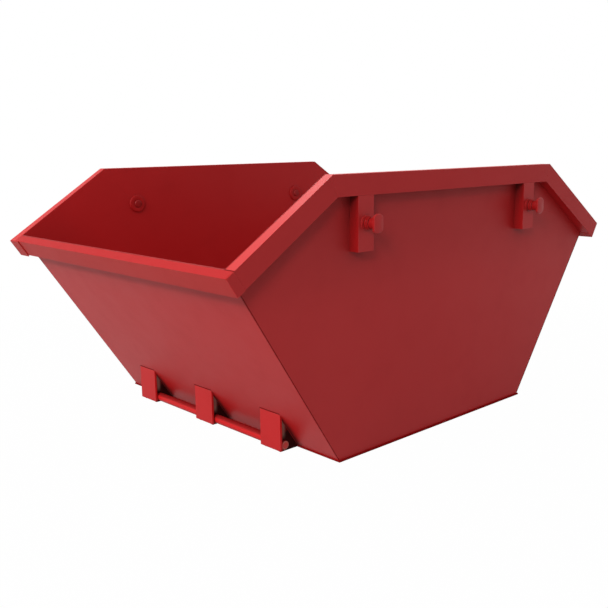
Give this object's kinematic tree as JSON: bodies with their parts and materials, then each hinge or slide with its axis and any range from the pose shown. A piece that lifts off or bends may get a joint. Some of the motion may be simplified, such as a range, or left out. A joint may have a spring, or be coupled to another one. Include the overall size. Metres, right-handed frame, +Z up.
{
  "type": "builders skip",
  "caption": "Open steel builders skip: a tub with sloping ends and a folded rim, headed lifting pins on posts at its sides, and a tipping bar on brackets at one end.",
  "frame": {"origin": "on the ground under the middle of the floor plate", "axes": "+Z up, +X along the length towards the rear end, with the tipping bar at the -X end; +Y towards the far side"},
  "size_m": [2.6248, 1.9302, 1.22],
  "materials": {
    "tub_paint": "red gloss paint on sheet steel, lightly worn",
    "gear_paint": "red gloss paint on plate and bar, rubbed at the edges"
  },
  "bodies": {
    "root": {"backing_disc_far_front": "tub_paint", "backing_disc_far_rear": "tub_paint", "backing_disc_near_front": "tub_paint", "backing_disc_near_rear": "tub_paint", "bracket_gusset_far_a": "gear_paint", "bracket_gusset_far_b": "gear_paint", "bracket_gusset_middle_a": "gear_paint", "bracket_gusset_middle_b": "gear_paint", "bracket_gusset_near_a": "gear_paint", "bracket_gusset_near_b": "gear_paint", "bracket_plate_far": "gear_paint", "bracket_plate_middle": "gear_paint", "bracket_plate_near": "gear_paint", "end_panel_front": "tub_paint", "end_panel_rear": "tub_paint", "end_rim_front": "tub_paint", "end_rim_rear": "tub_paint", "floor_plate": "tub_paint", "level_rail_far": "tub_paint", "level_rail_near": "tub_paint", "lift_pin_far_front": "gear_paint", "lift_pin_far_rear": "gear_paint", "lift_pin_near_front": "gear_paint", "lift_pin_near_rear": "gear_paint", "lift_post_far_front": "tub_paint", "lift_post_far_rear": "tub_paint", "lift_post_near_front": "tub_paint", "lift_post_near_rear": "tub_paint", "pin_collar_far_front": "gear_paint", "pin_collar_far_rear": "gear_paint", "pin_collar_near_front": "gear_paint", "pin_collar_near_rear": "gear_paint", "pin_head_far_front": "gear_paint", "pin_head_far_rear": "gear_paint", "pin_head_near_front": "gear_paint", "pin_head_near_rear": "gear_paint", "rail_cap_far_front": "tub_paint", "rail_cap_far_rear": "tub_paint", "rim_cap_near_front": "tub_paint", "rim_cap_near_rear": "tub_paint", "side_panel_far": "tub_paint", "side_panel_near": "tub_paint", "slope_rail_far_front": "tub_paint", "slope_rail_far_rear": "tub_paint", "slope_rail_near_front": "tub_paint", "slope_rail_near_rear": "tub_paint", "tipping_bar": "gear_paint"}
  },
  "joints": []
}
